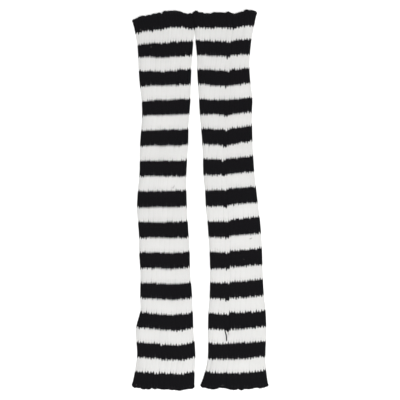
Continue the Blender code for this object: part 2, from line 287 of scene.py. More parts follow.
SEAM_GAP = 0.05  # ribs from the seam to the nearest points of the grid on both sides
SEAM_WIDTH = 0.09  # ribs
RELIEF_ENDS = (1.8, 2.5)  # angle round the side, from the top, where the knit turns to the pressed underside
SIDE_REACH = 0.45 * MM  # how far the loops' middles at a side stand out past its outline
SIDE_RIBS = 0.35  # how much of its ribs the knit keeps at its folded sides, where they are pulled flat
SIDE_LEVEL = 0.85  # height to which they are pulled there, as a share of a rib's
LEAST_HOLLOW = 1 / 3  # share of the hollow that stays open where the upper face sinks

RIB_REACH = 50 * MM  # how far from a hem its ribs sink to their height in the middle
HEM_REACH = 15 * MM  # how far from a hem its waves die out along the tube
LIFT_REACH = 28 * MM  # how far from a hem its lifted folds die out
HEM_INSET_REACH = 5 * MM  # how far from a hem its rows give way to the twisted edge
SCALLOP_REACH = 4 * MM  # how far from a hem its scallops die out
STEP_REACH = 9 * MM  # how far from the seam its step dies out
DIP_REACH = 7 * MM  # how far from the seam its dip dies out
PULL_REACH = 0.14  # stripes along which a pulled stitch dies out
CREASE_ENDS = 12.0  # sharpness of a crease's ends, which rise and fall over about a third of a stripe

TONGUE_POWER = 0.7  # below 1 for blunt tongues
STRAND_POWER = 0.8  # below 1 for full strands
THINNEST = 0.4  # height of a strand between two stitches, as a share of its most
STITCH_LEVEL = 0.7  # share of the stitches' height that lies below the plain rib
GROOVE_WIDTH = 0.15  # ribs
COLUMN_DIP = 0.25  # depth of the dip between a rib's two columns, as a share of the rib's height
COLUMN_DIP_WIDTH = 0.11  # ribs
ROLL_PLACE = 1.0 * MM  # where the cast-on edge is fullest, from the hem
ROLL_WIDTH = 1.2 * MM
PEEK_WIDTH = 0.16  # of a column
PEEK_PLACE = 1.0  # courses off the change of colour
PEEK_LENGTH = 0.35  # courses

# How much the stitches differ at random. The ranges are shares of the size that varies.
POINT_VARY = (0.75, 1.25)  # a tongue's length
SIZE_VARY = (0.7, 1.15)  # a stitch's swell
GROOVE_VARY = (0.35, 1.1)  # a groove's depth
DROP_SPREAD = 0.42 * MM  # how far a single stitch hangs lower or higher than its neighbours
MOST_DROP = 0.6 * MM  # the limit of that
HEM_SPREAD = 0.48 * MM  # how uneven the columns' ends are at a hem
HEM_WANDER_REACH = 2.2 * MM  # how far from a hem they even out

# A loose bit of yarn. Stripe and across: where it starts, across in mm from the tube's middle. Heading: in
# degrees, 0 to the right and 90 to the elbow. Length, bend and thick: mm. Humps: times that it comes up.
Bit = namedtuple("Bit", "side stripe across heading length bend thick humps")
# The dark thread that floats beside the right seam.
FLOAT_BITS = (
    Bit("right", 21.05, -12.9, -81.0, 10.0, 0.5, 1.3, 4),
)
# Two fine loops beside it, and two stray fibres.
LOOP_BITS = (
    Bit("right", 21.0, -9.9, -94.0, 6.2, 0.35, 0.20, 0),
    Bit("right", 21.0, -9.4, -78.0, 4.2, -0.3, 0.20, 0),
    Bit("right", 15.29, 14.9, 27.0, 2.9, -0.45, 0.5, 0),
    Bit("left", 11.84, 10.6, 50.0, 3.9, -0.5, 0.4, 0),
)
LINT_BITS = (
    Bit("left", 24.90, -29.0, 32.0, 4.2, 0.2, 0.40, 0),
    Bit("left", 0.86, -25.6, 60.0, 1.2, 0.3, 0.40, 0),
    Bit("left", 2.30, -15.4, 30.0, 1.4, 0.2, 0.36, 0),
    Bit("right", 24.88, -14.4, 5.0, 3.4, 0.3, 0.18, 0),
    Bit("right", 16.60, 8.4, 110.0, 1.2, 0.2, 0.24, 0),
)
BIT_POINTS = 13  # along a bit without humps
HUMP_POINTS = 8  # more for each hump
BIT_LEVEL = 0.8  # height at which a bit lies, as a share of a rib's
TIP = 0.05  # radius of a bit's tips, as a share of its own
STRAND_SIDES = 6

HEM_STRAND = 0.52 * MM  # radius of each of the two strands twisted along a hem
HEM_TWIST = 0.40 * MM  # how far each strand's line winds off the hem's middle
HEM_OUT = 0.25 * MM  # how far that middle lies past the end of the wall
HEM_SAMPLES = 8  # points for each turn of the twist


class KnitSizes(bpy.types.PropertyGroup):
    """Sizes of the knit that both tubes share."""

    ribs_round: IntProperty(
        name="Ribs round", description="Ribs right round a tube", default=22, min=12, max=40
    )
    courses: IntProperty(
        name="Courses per stripe", description="Rows of stitches in one stripe", default=8, min=4, max=12
    )
    wall: FloatProperty(
        name="Wall", description="Knit between the inside and the bottom of the grooves", default=1.9 * MM,
        unit="LENGTH",
    )
    under_wall: FloatProperty(
        name="Underside wall", description="Pressed knit of the face that rests", default=2.2 * MM,
        unit="LENGTH",
    )
    hollow: FloatProperty(
        name="Hollow", description="Height of the flat hollow between both faces", default=0.6 * MM,
        unit="LENGTH",
    )
    rib_height: FloatProperty(
        name="Rib height", description="How far a rib stands above its grooves near a hem", default=0.6 * MM,
        unit="LENGTH",
    )
    middle_ribs: FloatProperty(
        name="Middle ribs", description="Rib height half way along, as a share of that near a hem",
        default=0.45, min=0.0, max=1.0, subtype="FACTOR",
    )
    stitch_height: FloatProperty(
        name="Stitch height", description="How far a stitch's yarn stands above the gaps round it",
        default=0.34 * MM, unit="LENGTH",
    )
    deep_point: FloatProperty(
        name="Deep point", description="How far the middle of a rib's first column hangs below its edges",
        default=2.5 * MM, unit="LENGTH",
    )
    shallow_point: FloatProperty(
        name="Shallow point", description="How far the middle of a rib's second column hangs below its edges",
        default=1.9 * MM, unit="LENGTH",
    )
    rib_point: FloatProperty(
        name="Rib point", description="How far the middle of a rib hangs below its grooves", default=0.5 * MM,
        unit="LENGTH",
    )
    seam_depth: FloatProperty(
        name="Seam depth", description="How much deeper the seam's groove is", default=0.45 * MM,
        unit="LENGTH",
    )
    roll: FloatProperty(
        name="Hem roll", description="How much the cast-on edge stands proud", default=0.35 * MM,
        unit="LENGTH",
    )
    scallop: FloatProperty(
        name="Hem scallop", description="How far a rib's end stands past its grooves at the hem",
        default=0.7 * MM, unit="LENGTH",
    )
    hem_inset: FloatProperty(
        name="Hem inset", description="How far the last row stops short of the hem, for its twisted edge",
        default=1.3 * MM, unit="LENGTH",
    )
    black_reach: FloatProperty(
        name="Black reach", description="How far the black yarn covers the white at a change of colour",
        default=0.55 * MM, unit="LENGTH",
    )
    shoulder: FloatProperty(
        name="Shoulder", description="How far in from the side the upper face starts to fall", default=9 * MM,
        unit="LENGTH",
    )
    shoulder_fall: FloatProperty(
        name="Shoulder fall", description="How far the upper face has fallen at the side", default=3.0 * MM,
        unit="LENGTH",
    )


class YarnLooks(bpy.types.PropertyGroup):
    """Colours and finish of the yarns."""

    black: FloatVectorProperty(
        name="Black", description="Colour of the black yarn", default=(0.0062, 0.0059, 0.0072),
        subtype="COLOR",
    )
    white: FloatVectorProperty(
        name="Off-white", description="Colour of the white yarn", default=(0.768, 0.765, 0.753),
        subtype="COLOR",
    )
    lint: FloatVectorProperty(
        name="Lint", description="Colour of the loose fibres", default=(0.16, 0.15, 0.14), subtype="COLOR"
    )
    roughness: FloatProperty(
        name="Roughness", description="How matt the yarn is", default=0.92, min=0.0, max=1.0, subtype="FACTOR"
    )
    black_nap: FloatProperty(
        name="Black nap", description="How strongly the black yarn's fine fibres catch the light",
        default=0.03, min=0.0, max=1.0, subtype="FACTOR",
    )
    white_nap: FloatProperty(
        name="Off-white nap", description="How strongly the white yarn's fine fibres catch the light",
        default=0.12, min=0.0, max=1.0, subtype="FACTOR",
    )
    unevenness: FloatProperty(
        name="Unevenness", description="How much the yarn's brightness wanders", default=0.05, min=0.0,
        max=0.5, subtype="FACTOR",
    )


class StageSizes(bpy.types.PropertyGroup):
    """Camera, floor and lights."""

    lens: FloatProperty(
        name="Lens", description="Focal length in mm", default=85.0, min=20.0, max=200.0, unit="CAMERA"
    )
    view_width: FloatProperty(
        name="View width", description="Width of the surface that the camera sees", default=0.4232,
        unit="LENGTH",
    )
    floor: FloatVectorProperty(
        name="Floor", description="Colour of the floor", default=(0.93, 0.93, 0.93), subtype="COLOR"
    )
    floor_glow: FloatProperty(
        name="Floor glow", description="Light from under the floor, as on a light table", default=0.26,
        min=0.0, max=2.0,
    )
    key: FloatProperty(
        name="Key light", description="Power of the large soft light overhead", default=32.0, min=0.0,
        max=500.0, unit="POWER",
    )
    surround: FloatProperty(
        name="Surround", description="Strength of the white surroundings", default=0.30, min=0.0, max=3.0
    )


def smooth(at, rows, column):
    """A table's column as a smooth curve at any stripe.

    Cubic between neighbouring rows, with each row's slope taken from its neighbours.
    """
    knots = np.array([row.stripe for row in rows], float)
    values = np.array([getattr(row, column) for row in rows], float)
    slopes = np.gradient(values, knots)
    gap = np.clip(np.searchsorted(knots, at, side="right") - 1, 0, len(knots) - 2)
    span = knots[gap + 1] - knots[gap]
    t = (at - knots[gap]) / span
    from_start = (1 + 2 * t) * (1 - t) ** 2 * values[gap] + t * (1 - t) ** 2 * span * slopes[gap]
    from_end = t * t * (3 - 2 * t) * values[gap + 1] - t * t * (1 - t) * span * slopes[gap + 1]
    return from_start + from_end


def bell(distance, width):
    """1 in the middle, falling off as e to the minus square of the distance over the width."""
    return np.exp(-((distance / width) ** 2))


def tongue(share):
    """-1 at both edges and 1 in the middle of a width, by the power of a cosine: a stitch's rounded V."""
    wave = -np.cos(2 * np.pi * share)
    return np.sign(wave) * np.abs(wave) ** TONGUE_POWER


def wrap(ribs, sizes):
    """Places round the tube, in ribs, brought to between minus half and plus half a turn."""
    return (ribs + sizes.ribs_round / 2) % sizes.ribs_round - sizes.ribs_round / 2


def along_tube(per_stripe):
    """Evenly spaced places from hem to hem, so many for each stripe."""
    return np.linspace(0, STRIPES, per_stripe * STRIPES + 1)


def from_nearer_hem(places):
    """Distance of a place along the tube from the hem that is nearer."""
    return np.minimum(places, STRIPES - places) * STRIPE_PITCH


class Lay:
    """How one warmer lies, at stripes counted along it in a column and ribs counted round it in a row."""

    def __init__(self, warmer, sizes, places, ribs):
        """The pitch is a rib's width: the way round the band and its half-round sides, over the ribs."""
        self.warmer, self.sizes = warmer, sizes
        self.places = places = np.asarray(places, float).reshape(-1, 1)
        self.ribs = ribs = np.asarray(ribs, float)
        left, right = (smooth(places, warmer.outline, name) * MM for name in ("left", "right"))
        self.middle, self.half = (left + right) / 2, (right - left) / 2 + SIDE_REACH
        self.side_radius = (sizes.under_wall + sizes.hollow + sizes.wall) / 2
        near_hem = bell(from_nearer_hem(places), RIB_REACH)
        self.rib_height = sizes.rib_height * (sizes.middle_ribs + (1 - sizes.middle_ribs) * near_hem)
        self.flat = self.half - self.rib_height - self.side_radius
        self.pitch = (4 * self.flat + 2 * np.pi * self.side_radius) / sizes.ribs_round
        self.around = wrap(ribs + smooth(places, warmer.outline, "turn"), sizes)
        self.from_seam = wrap(ribs, sizes) * self.pitch
        self._cross_section()

    def _cross_section(self):
        """The plain outline of the knit across the tube: a flat band with half-round sides.

        Along the flat, across is the distance from the top's middle. Round the side it is the flat's end plus
        the radius times the sine of the angle, and the height the radius times one plus the cosine.
        """
        distance = np.abs(self.around) * self.pitch
        radius, side = self.side_radius, np.sign(self.around)
        self.angle = np.clip((distance - self.flat) / radius, 0, np.pi)
        past_side = np.maximum(distance - self.flat - np.pi * radius, 0)
        self.across = side * (np.minimum(distance, self.flat) + radius * np.sin(self.angle) - past_side)
        self.height = radius * (1 + np.cos(self.angle))
        self.out_across, self.out_up = side * np.sin(self.angle), np.cos(self.angle)
        start, end = RELIEF_ENDS
        self.shows = 1 - np.clip((self.angle - start) / (end - start), 0, 1)
        self.share = self.across / self.half

    def _fold_sum(self, share, column, reach):
        """Each wave is a bell across the width times a bell of the distance from its hem."""
        total = 0.0
        for fold in self.warmer.folds:
            from_hem = (self.places if fold.hem == "elbow" else STRIPES - self.places) * STRIPE_PITCH
            wave = bell(share - fold.across, fold.width) * bell(from_hem, reach)
            total = total + getattr(fold, column) * MM * wave
        return total

    def along(self, share):
        """Height up the sheet of the row of knit: its run from side to side, and the seam's step and dip.

        It runs as a line in its tilt, a parabola in its bow, a cubic in its sway and a cosine in its wave.
        The step and the dip fall off as e to the minus distance from the seam over their reach.
        """
        up, tilt, bow, sway, step, dip, wave = (
            smooth(self.places, self.warmer.lines, name) * MM for name in Line._fields[1:]
        )
        run = up + tilt * share / 2 + (bow - wave * np.cos(2 * np.pi * share)) * (1 - share**2)
        run = run + sway * (share**3 - share) + self._colour_change()
        away = np.abs(self.from_seam)
        stepped = step / 2 * np.sign(self.from_seam) * np.exp(-away / STEP_REACH)
        dipped = dip * np.exp(-away / DIP_REACH)
        return run + stepped - dipped + self._fold_sum(share, "along", HEM_REACH)

    def _colour_change(self):
        """The black's reach, a cosine up at even stripe edges and down at odd ones, and the hems' inset."""
        from_hem = from_nearer_hem(self.places)
        inward = np.sign(self.places - STRIPES / 2) * self.sizes.hem_inset * bell(from_hem, HEM_INSET_REACH)
        covered = 1 - bell(from_hem, HEM_INSET_REACH)
        return self.sizes.black_reach * np.cos(np.pi * self.places) * covered + inward

    def pulled(self):
        """How far single stitches hang down: bells of the distance from the seam, each at one stripe edge."""
        total = 0.0
        for pull in self.warmer.pulls:
            across = bell(self.from_seam - pull.from_seam * MM, pull.width * MM)
            total = total + pull.depth * MM * across * bell(self.places - pull.stripe, PULL_REACH)
        return total

    def lift(self, share):
        """How far the upper face rises off the lower one, never at the sides."""
        return self._fold_sum(share, "lift", LIFT_REACH) * np.clip(1 - share**4, 0, 1)

    def fall(self, across):
        """How far the upper face has sunk on its soft shoulder: the square of the share of the shoulder."""
        share = np.clip((np.abs(across) - self.half) / self.sizes.shoulder + 1, 0, 1)
        return self.sizes.shoulder_fall * share**2

    def crease_depth(self):
        """Each crease is a bell across, which starts and ends along two S curves."""
        total = 0.0
        for crease in self.warmer.creases:
            started = 1 + np.exp(CREASE_ENDS * (crease.start - self.places))
            ended = 1 + np.exp(CREASE_ENDS * (self.places - crease.end))
            offset = (self.share - crease.across) * self.half
            total = total + crease.depth * MM * bell(offset, crease.width * MM) / (started * ended)
        return total

    def outer(self, raised, shift=0.0, recess=0.0):
        """Points outside: raised off the outline where it shows, recessed off the floor underneath.

        The lift and the fall take hold by the square of the height, as a share of the tube's.
        """
        upper = (self.height / (2 * self.side_radius)) ** 2
        out = raised * self.shows
        x = self.middle + self.across + self.out_across * out
        y = self.along(self.share) - shift
        z = self.height + self.out_up * out + (self.lift(self.share) - self.fall(self.across)) * upper
        z = np.maximum(z, 0) + recess * (1 - self.shows)
        return self._placed(x, y, z)

    def inner(self, shift=0.0):
        """Points inside: the outline drawn in to the hollow, flat below and following the folds above."""
        sizes = self.sizes
        reach = 1 - sizes.wall / (self.half - self.rib_height)
        across = self.across * reach
        share = across / self.half
        height = np.maximum(sizes.hollow + self.lift(share) - self.fall(across), sizes.hollow * LEAST_HOLLOW)
        z = sizes.under_wall + height * (1 + np.cos(self.angle)) / 2
        return self._placed(self.middle + across, self.along(share) - shift, z)

    def _placed(self, x, y, z):
        """Points from their coordinates, moved from the tables' middle to the part's origin."""
        return np.stack(np.broadcast_arrays(x - ORIGIN_ACROSS, y - ORIGIN_UP, z), axis=-1)


def shown_ribs(warmer, sizes):
    """Whether each rib comes up on the face or the side that shows, somewhere along the tube."""
    lay = Lay(warmer, sizes, along_tube(per_stripe=2), np.arange(sizes.ribs_round) + 0.5)
    return (lay.angle < RELIEF_ENDS[1]).any(axis=0)


def grid_ribs(warmer, sizes):
    """Places of the grid's points round the tube, in ribs from just right of the seam to just left of it."""
    places = []
    for rib, shown in enumerate(shown_ribs(warmer, sizes)):
        for column in range(COLUMNS_PER_RIB):
            for across in SHOWN_ACROSS if shown else HIDDEN_ACROSS:
                places.append(rib + (column + across) / COLUMNS_PER_RIB)
    places[0] = SEAM_GAP
    return np.array(places + [sizes.ribs_round - SEAM_GAP])


class Stitches:
    """The relief of the knit at the points of a lay, with a little of each stitch's own unevenness."""

    def __init__(self, lay, warmer, sizes):
        rng = np.random.default_rng(warmer.seed)
        columns = sizes.ribs_round * COLUMNS_PER_RIB
        self.point_vary = rng.uniform(*POINT_VARY, (columns, STRIPES + 2))
        drop = rng.normal(0, DROP_SPREAD, (columns, STRIPES + 2))
        self.drop = np.clip(drop, -MOST_DROP, MOST_DROP)
        self.size_vary = rng.uniform(*SIZE_VARY, (columns, STRIPES * sizes.courses + 2))
        self.peek_vary = rng.uniform(0, 1, (columns, STRIPES + 2)) ** 2
        self.hem_ends = rng.normal(0, HEM_SPREAD, (2, columns + 1))
        self.hem_ends[:, -1] = self.hem_ends[:, 0]
        self.groove_vary = rng.uniform(*GROOVE_VARY, (sizes.ribs_round, STRIPES + 2))
        self.lay, self.sizes = lay, sizes
        self.column = np.floor(lay.ribs * COLUMNS_PER_RIB).astype(int) % columns
        self.in_column = (lay.ribs * COLUMNS_PER_RIB) % 1
        self.course = lay.places * sizes.courses
        self.near_hem = np.exp(-from_nearer_hem(lay.places) / HEM_WANDER_REACH)

    def _blend(self, table, row):
        """A row of a table, such as a column's or a groove's own, blended from stripe edge to stripe edge."""
        stripe = np.floor(self.lay.places).astype(int)
        t = self.lay.places - stripe
        return table[row, stripe] * (1 - t) + table[row, stripe + 1] * t

    def shift(self):
        """How far a row of knit hangs towards the hand: a tongue in each rib and in each of its columns.

        The first column's tongue is the longer one.
        """
        sizes = self.sizes
        first = self.column % COLUMNS_PER_RIB == 0
        deep = np.where(first, sizes.deep_point, sizes.shallow_point)
        hang = deep * self._blend(self.point_vary, self.column) * tongue(self.in_column)
        hang = hang + sizes.rib_point * tongue(self.lay.ribs)
        hang = hang / 2 + self._blend(self.drop, self.column) + self.lay.pulled()
        return hang * (1 - self.near_hem) + self.hem_wander() * self.near_hem

    def hem_wander(self):
        """Uneven ends of the columns at a hem, blended by a cosine from one column to the next."""
        t = (1 - np.cos(np.pi * self.in_column)) / 2
        near_elbow = self.lay.places < STRIPES / 2
        elbow, hand = self.hem_ends
        own = np.where(near_elbow, elbow[self.column], hand[self.column])
        following = np.where(near_elbow, elbow[self.column + 1], hand[self.column + 1])
        return own * (1 - t) + following * t

    def rib(self):
        """1 on a knit column, near 0 in the groove between ribs, less than 1 in the dip between two columns.

        Groove and dip are bells, and each groove has its own depth. At the folded sides the rib is pulled
        flat by the square of the sine of the angle.
        """
        at = self.lay.ribs % 1
        groove = np.round(self.lay.ribs).astype(int) % self.sizes.ribs_round
        depth = self._blend(self.groove_vary, groove)
        rib = 1 - depth * bell(np.minimum(at, 1 - at), GROOVE_WIDTH)
        rib = rib - COLUMN_DIP * bell(at - 0.5, COLUMN_DIP_WIDTH)
        return rib + (SIDE_LEVEL - rib) * (1 - SIDE_RIBS) * np.sin(self.lay.angle) ** 2

    def stitch(self):
        """Two strands a column, each a ridge rounded by the power of a sine, that swells once a course."""
        strand = np.abs(np.sin(2 * np.pi * self.in_column)) ** STRAND_POWER
        swell = np.abs(np.sin(np.pi * (self.course % 1))) ** STRAND_POWER
        own = self.size_vary[self.column, np.floor(self.course).astype(int)]
        return strand * (THINNEST + (1 - THINNEST) * swell * own)

    def seam(self):
        """1 in the middle of the seam's groove, falling off as a bell on both sides."""
        return bell(self.lay.from_seam / self.lay.pitch, SEAM_WIDTH)

    def raised(self):
        """Rib plus stitch, less the seam's groove and the creases, plus the roll of the cast-on edge."""
        sizes = self.sizes
        relief = self.lay.rib_height * self.rib() + sizes.stitch_height * (self.stitch() - STITCH_LEVEL)
        roll = sizes.roll * bell(from_nearer_hem(self.lay.places) - ROLL_PLACE, ROLL_WIDTH)
        return relief + roll - sizes.seam_depth * self.seam() - self.lay.crease_depth()

    def recess(self):
        """Underneath, the stitches are pressed flat and only their gaps and the seam stay off the floor."""
        gaps = 1 - np.clip(self.stitch() * np.sqrt(np.clip(self.rib(), 0, 1)), 0, 1)
        return self.sizes.stitch_height * gaps + self.sizes.seam_depth * self.seam()

    def scallop(self):
        """Ribs' ends stand a little past their grooves at each hem, by a bell of the distance from it."""
        signed = bell(self.lay.places * STRIPE_PITCH, SCALLOP_REACH)
        signed = signed - bell((STRIPES - self.lay.places) * STRIPE_PITCH, SCALLOP_REACH)
        return self.sizes.scallop * np.clip(self.rib(), 0, 1) * signed

    def outside(self):
        """Points on the outside of the knit."""
        return self.lay.outer(self.raised(), self.shift() - self.scallop(), self.recess())

    def crest(self):
        """0 deep between the stitches and 1 on top of them: the mean of rib and stitch; it sets the painted
        gap shade.
        """
        return np.clip((self.rib() + self.stitch()) / 2, 0, 1)

    def peek(self):
        """Where a loop of the other yarn shows between two columns, one course off a change of colour.

        It is a bell across times a bell along, weaker or stronger at random, and fades out at the hems.
        """
        off = np.abs((self.lay.places + 0.5) % 1 - 0.5) * self.sizes.courses
        between = bell(np.minimum(self.in_column, 1 - self.in_column), PEEK_WIDTH)
        shown = between * bell(off - PEEK_PLACE, PEEK_LENGTH) * self._blend(self.peek_vary, self.column)
        return shown * (1 - self.near_hem)


def ring_quads(rows, columns):
    """Quads of a grid that closes on itself both ways, facing away from its inside, and their grid corners.

    A corner keeps the count of its row and column past the closing edge, so that a map doesn't fold back.
    """
    i, j = (a.ravel() for a in np.meshgrid(np.arange(rows), np.arange(columns), indexing="ij"))
    i = np.stack([i, i + 1, i + 1, i], -1)
    j = np.stack([j, j, j + 1, j + 1], -1)
    return (i % rows) * columns + j % columns, i, j


def join_grids(grids):
    """Several grids of points and quads as one."""
    starts = np.cumsum([0] + [len(points) for points, _ in grids[:-1]])
    quads = [faces + start for (_, faces), start in zip(grids, starts)]
    return np.concatenate([points for points, _ in grids]), np.concatenate(quads)


def make_mesh(name, points, quads, maps=(), values=()):
    """A mesh from arrays: points, quads, maps of a place for each corner and values for each point."""
    mesh = bpy.data.meshes.new(name)
    mesh.vertices.add(len(points))
    mesh.vertices.foreach_set("co", points.astype(np.float32).ravel())
    mesh.loops.add(quads.size)
    mesh.loops.foreach_set("vertex_index", quads.astype(np.int32).ravel())
    mesh.polygons.add(len(quads))
    mesh.polygons.foreach_set("loop_start", np.arange(0, quads.size, 4, dtype=np.int32))
    mesh.update(calc_edges=True)
    for map_name, places in maps:
        layer = mesh.uv_layers.new(name=map_name)
        layer.uv.foreach_set("vector", places.astype(np.float32).ravel())
    for value_name, numbers in values:
        attribute = mesh.attributes.new(value_name, "FLOAT", "POINT")
        attribute.data.foreach_set("value", numbers.astype(np.float32).ravel())
    mesh.validate()
    mesh.shade_smooth()
    made = bpy.data.objects.new(name, mesh)
    bpy.context.scene.collection.objects.link(made)
    return made


class TubeKnit:
    """One warmer's whole knit, worked out once and then taken apart into its black and white stripes."""

    LIP_STEPS = (0.33, 0.67)  # shares of the way from the outside to the inside, round the end of a hem
    LIP_BULGE = 0.5 * MM
    INSIDE_CREST = 0.5  # the inside is plain, half way between the gaps and the tops, with half the painted gap shade

    # Where the rows of a stripe's ring lie on the unrolled map, as shares of its band.
    OUTSIDE_END = 0.72
    HAND_LIP_RUNGS = (0.735, 0.75)
    INSIDE_RUNGS = (0.78, 0.94)
    ELBOW_LIP_RUNGS = (0.96, 0.98)
    BAND_FILL = 0.97  # of a band's height, which parts it from the next band
    MAP_MARGIN = 0.01  # of the map's width, left free on both sides

    def __init__(self, warmer, sizes):
        self.sizes = sizes
        self.ribs = grid_ribs(warmer, sizes)
        steps = np.linspace(0, 1, sizes.courses * ROWS_PER_COURSE + 1)
        self.outer_places = np.arange(STRIPES)[:, None] + steps * (1 - JUST_SHORT)
        lay = Lay(warmer, sizes, self.outer_places.ravel(), self.ribs)
        knit = Stitches(lay, warmer, sizes)
        shape = self.outer_places.shape + self.ribs.shape
        self.outer = knit.outside().reshape(shape + (3,))
        self.crest = knit.crest().reshape(shape)
        self.peek = knit.peek().reshape(shape)
        edge_lay = Lay(warmer, sizes, self.outer_places[:, [-1, 0]].ravel(), self.ribs)
        edge_knit = Stitches(edge_lay, warmer, sizes)
        self.inner = edge_lay.inner(edge_knit.shift()).reshape(STRIPES, 2, self.ribs.size, 3)

    def _lip(self, outside, inside, outwards):
        """Rows round the end of a hem: between the outside and the inside, bulging by a half sine."""
        shares = np.array(self.LIP_STEPS)[:, None, None]
        rows = outside + (inside - outside) * shares
        rows[..., 1] += outwards * self.LIP_BULGE * np.sin(np.pi * shares[..., 0])
        return rows

    def stripe(self, number):
        """Points of one stripe as a closed ring of knit, its rows running down the outside and up the inside.

        Returns the points, each row's place along the tube and its rung on the unrolled map, with one rung
        more where the ring closes.
        """
        outer, (inner_end, inner_start) = self.outer[number], self.inner[number]
        parts = [(outer, self.outer_places[number], np.linspace(0, self.OUTSIDE_END, len(outer)))]
        if number == STRIPES - 1:
            lip = self._lip(outer[-1], inner_end, -1)
            parts.append((lip, [STRIPES] * len(lip), self.HAND_LIP_RUNGS))
        parts.append((np.stack([inner_end, inner_start]), [number + 1, number], self.INSIDE_RUNGS))
        if number == 0:
            lip = self._lip(outer[0], inner_start, 1)[::-1]
            parts.append((lip, [0] * len(lip), self.ELBOW_LIP_RUNGS))
        rows, places, rungs = (np.concatenate(column) for column in zip(*parts))
        return rows, places, np.append(rungs, 1.0)

    def piece(self, name, numbers):
        """The stripes of one yarn, as one mesh of closed rings, each with its band of the unrolled map."""
        grids, stitch_map, bake_map, crest, peek = [], [], [], [], []
        columns = self.ribs.size
        around = np.append(self.ribs, self.ribs[0] + self.sizes.ribs_round) * COLUMNS_PER_RIB
        for slot, number in enumerate(numbers):
            rows, places, rungs = self.stripe(number)
            corners, i, j = ring_quads(len(rows), columns)
            grids.append((rows.reshape(-1, 3), corners))
            courses = np.append(places, places[0]) * self.sizes.courses
            stitch_map.append(np.stack([around[j], courses[i]], -1))
            across = self.MAP_MARGIN + (1 - 2 * self.MAP_MARGIN) * j / columns
            down = (slot + self.BAND_FILL * rungs[i]) / len(numbers)
            bake_map.append(np.stack([across, down], -1))
            inside = np.zeros((len(rows) - len(self.crest[number]), columns))
            crest.append(np.concatenate([self.crest[number], inside + self.INSIDE_CREST]).ravel())
            peek.append(np.concatenate([self.peek[number], inside]).ravel())
        maps = (("stitches", np.concatenate(stitch_map)), ("OFBake", np.concatenate(bake_map)))
        values = (("crest", np.concatenate(crest)), ("peek", np.concatenate(peek)))
        return make_mesh(name, *join_grids(grids), maps, values)


def unit(vectors):
    """Vectors brought to a length of 1."""
    return vectors / np.linalg.norm(vectors, axis=-1, keepdims=True)


def tube_grid(path, across, up, radius, closed):
    """A round tube: circles of a radius, in the plane of two directions, carried along a path of points.

    An open tube narrows almost to a point at both ends, each closed by a fan of quads. Returns its points and
    its quads.
    """
    turn = 2 * np.pi * np.arange(STRAND_SIDES) / STRAND_SIDES
    radius = np.full(len(path), radius)
    if not closed:
        radius[[0, -1]] *= TIP
    circle = np.cos(turn)[:, None] * across[:, None] + np.sin(turn)[:, None] * up[:, None]
    points = path[:, None] + radius[:, None, None] * circle
    quads, i, _ = ring_quads(len(path), STRAND_SIDES)
    if not closed:
        second = np.arange(1, STRAND_SIDES - 2, 2)
        fan = np.stack([np.zeros_like(second), second, second + 1, second + 2], -1)
        end_fan = fan[:, ::-1] + (len(path) - 1) * STRAND_SIDES
        quads = np.concatenate([quads[i[:, 1] < len(path)], fan, end_fan])
    return points.reshape(-1, 3), quads


def hem_edge(warmer, sizes, hem):
    """The cast-on or bound-off edge: two strands wound round the middle of the wall's end, a turn a column.

    The line of a strand is the wall's middle plus a circle in the plane of the length and of the thickness.
    """
    turns = sizes.ribs_round * COLUMNS_PER_RIB
    ribs = np.linspace(0, sizes.ribs_round, turns * HEM_SAMPLES, endpoint=False)
    place, sign = (0.0, 1.0) if hem == "elbow" else (STRIPES - JUST_SHORT, -1.0)
    lay = Lay(warmer, sizes, [place], ribs)
    knit = Stitches(lay, warmer, sizes)
    outwards = np.array([0.0, sign, 0.0])
    middle = (knit.outside()[0] + lay.inner(knit.shift())[0]) / 2 + outwards * HEM_OUT
    ahead = unit(np.roll(middle, -1, axis=0) - np.roll(middle, 1, axis=0))
    through = unit(np.cross(ahead, outwards))
    side = np.cross(through, ahead)
    phase = 2 * np.pi * ribs * COLUMNS_PER_RIB
    strands = []
    for start in (0, np.pi):
        wound = np.cos(phase + start)[:, None] * side + np.sin(phase + start)[:, None] * through
        strands.append(tube_grid(middle + HEM_TWIST * wound, side, through, HEM_STRAND, closed=True))
    points, quads = join_grids(strands)
    points[:, 2] = np.maximum(points[:, 2], 0)
    return points, quads


def bit_grid(bit, sizes):
    """A loose bit of yarn: an arc on top of the ribs, or a thread that comes up between the loops in humps.

    Its line is the start plus the heading times the length, bent sideways by a parabola. A hump is half a
    wave of a sine.
    """
    warmer = next(warmer for warmer in WARMERS if warmer.side == bit.side)
    t = np.linspace(0, 1, BIT_POINTS + HUMP_POINTS * bit.humps)[:, None]
    heading = np.radians(bit.heading)
    ahead = np.array([np.cos(heading), np.sin(heading)])
    aside = np.array([-np.sin(heading), np.cos(heading)])
    offset = MM * (bit.length * t * ahead + 4 * bit.bend * t * (1 - t) * aside)
    pitch = Lay(warmer, sizes, [bit.stripe], [0.0]).pitch[0]
    rib = bit.across * MM / pitch - smooth(np.array([bit.stripe]), warmer.outline, "turn")
    lay = Lay(warmer, sizes, bit.stripe - offset[:, 1] / STRIPE_PITCH, rib)
    line = lay.outer(BIT_LEVEL * np.full_like(t, sizes.rib_height))[:, 0]
    line[:, :2] = line[0, :2] + offset
    hump = 2 * np.abs(np.sin(np.pi * bit.humps * t[:, 0])) - 1 if bit.humps else 1.0
    radius = bit.thick * MM / 2
    line[:, 2] += radius * hump
    run = unit(np.gradient(line, axis=0))
    across = unit(np.cross([0.0, 0.0, 1.0], run))
    return tube_grid(line, across, np.cross(run, across), radius, closed=False)


